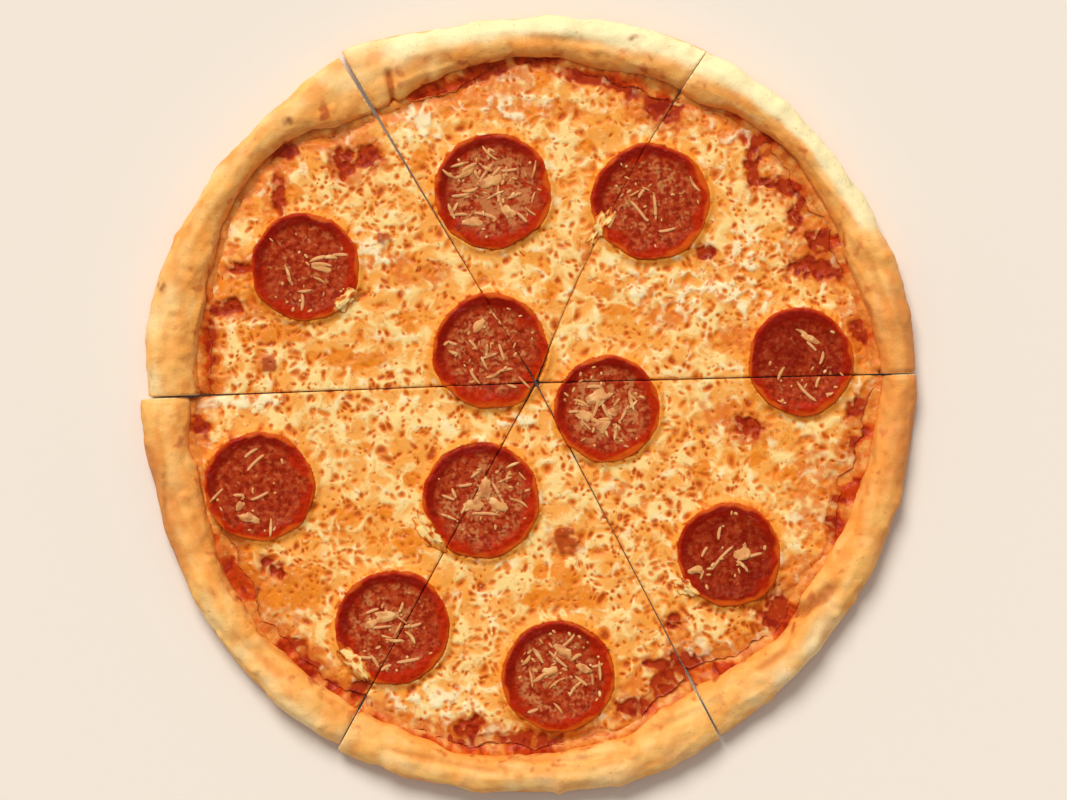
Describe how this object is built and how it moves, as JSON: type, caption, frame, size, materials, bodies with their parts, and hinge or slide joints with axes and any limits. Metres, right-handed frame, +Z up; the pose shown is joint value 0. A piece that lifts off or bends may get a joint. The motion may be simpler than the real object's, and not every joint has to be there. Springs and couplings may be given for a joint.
{
  "type": "pepperoni pizza",
  "caption": "Round thin pizza cut into wedge slices that lie together, with a raised golden rim, melted cheese over tomato sauce, and pepperoni discs under grated cheese.",
  "frame": {"origin": "under the middle of the pizza's outline, on the surface it rests on", "axes": "+Z up, through the toppings; +X to the right and +Y to the top of the picture it was built from, so one cut runs nearly along +X"},
  "size_m": [0.3066, 0.3064, 0.0145],
  "materials": {
    "dough": "baked bread dough, golden, matt with a faint oily sheen",
    "sauce": "wet tomato sauce, dark red",
    "cheese": "melted mozzarella, creamy yellow with browned freckles, oily",
    "pepperoni": "cured sausage, dark red and greasy, with pale grated hard cheese on it"
  },
  "bodies": {
    "root": {"crust_1": "dough", "crust_2": "dough", "crust_3": "dough", "crust_4": "dough", "crust_5": "dough", "crust_6": "dough", "sauce_1": "sauce", "sauce_2": "sauce", "sauce_3": "sauce", "sauce_4": "sauce", "sauce_5": "sauce", "sauce_6": "sauce", "cheese_1": "cheese", "cheese_2": "cheese", "cheese_3": "cheese", "cheese_4": "cheese", "cheese_5": "cheese", "cheese_6": "cheese", "pepperoni_1_on_slice_2": "pepperoni", "pepperoni_2_on_slice_1": "pepperoni", "pepperoni_2_on_slice_2": "pepperoni", "pepperoni_3_on_slice_3": "pepperoni", "pepperoni_4_on_slice_2": "pepperoni", "pepperoni_4_on_slice_3": "pepperoni", "pepperoni_4_on_slice_4": "pepperoni", "pepperoni_5_on_slice_1": "pepperoni", "pepperoni_5_on_slice_6": "pepperoni", "pepperoni_6_on_slice_1": "pepperoni", "pepperoni_6_on_slice_6": "pepperoni", "pepperoni_7_on_slice_4": "pepperoni", "pepperoni_8_on_slice_4": "pepperoni", "pepperoni_8_on_slice_5": "pepperoni", "pepperoni_9_on_slice_4": "pepperoni", "pepperoni_9_on_slice_5": "pepperoni", "pepperoni_10_on_slice_5": "pepperoni", "pepperoni_11_on_slice_6": "pepperoni"}
  },
  "joints": []
}
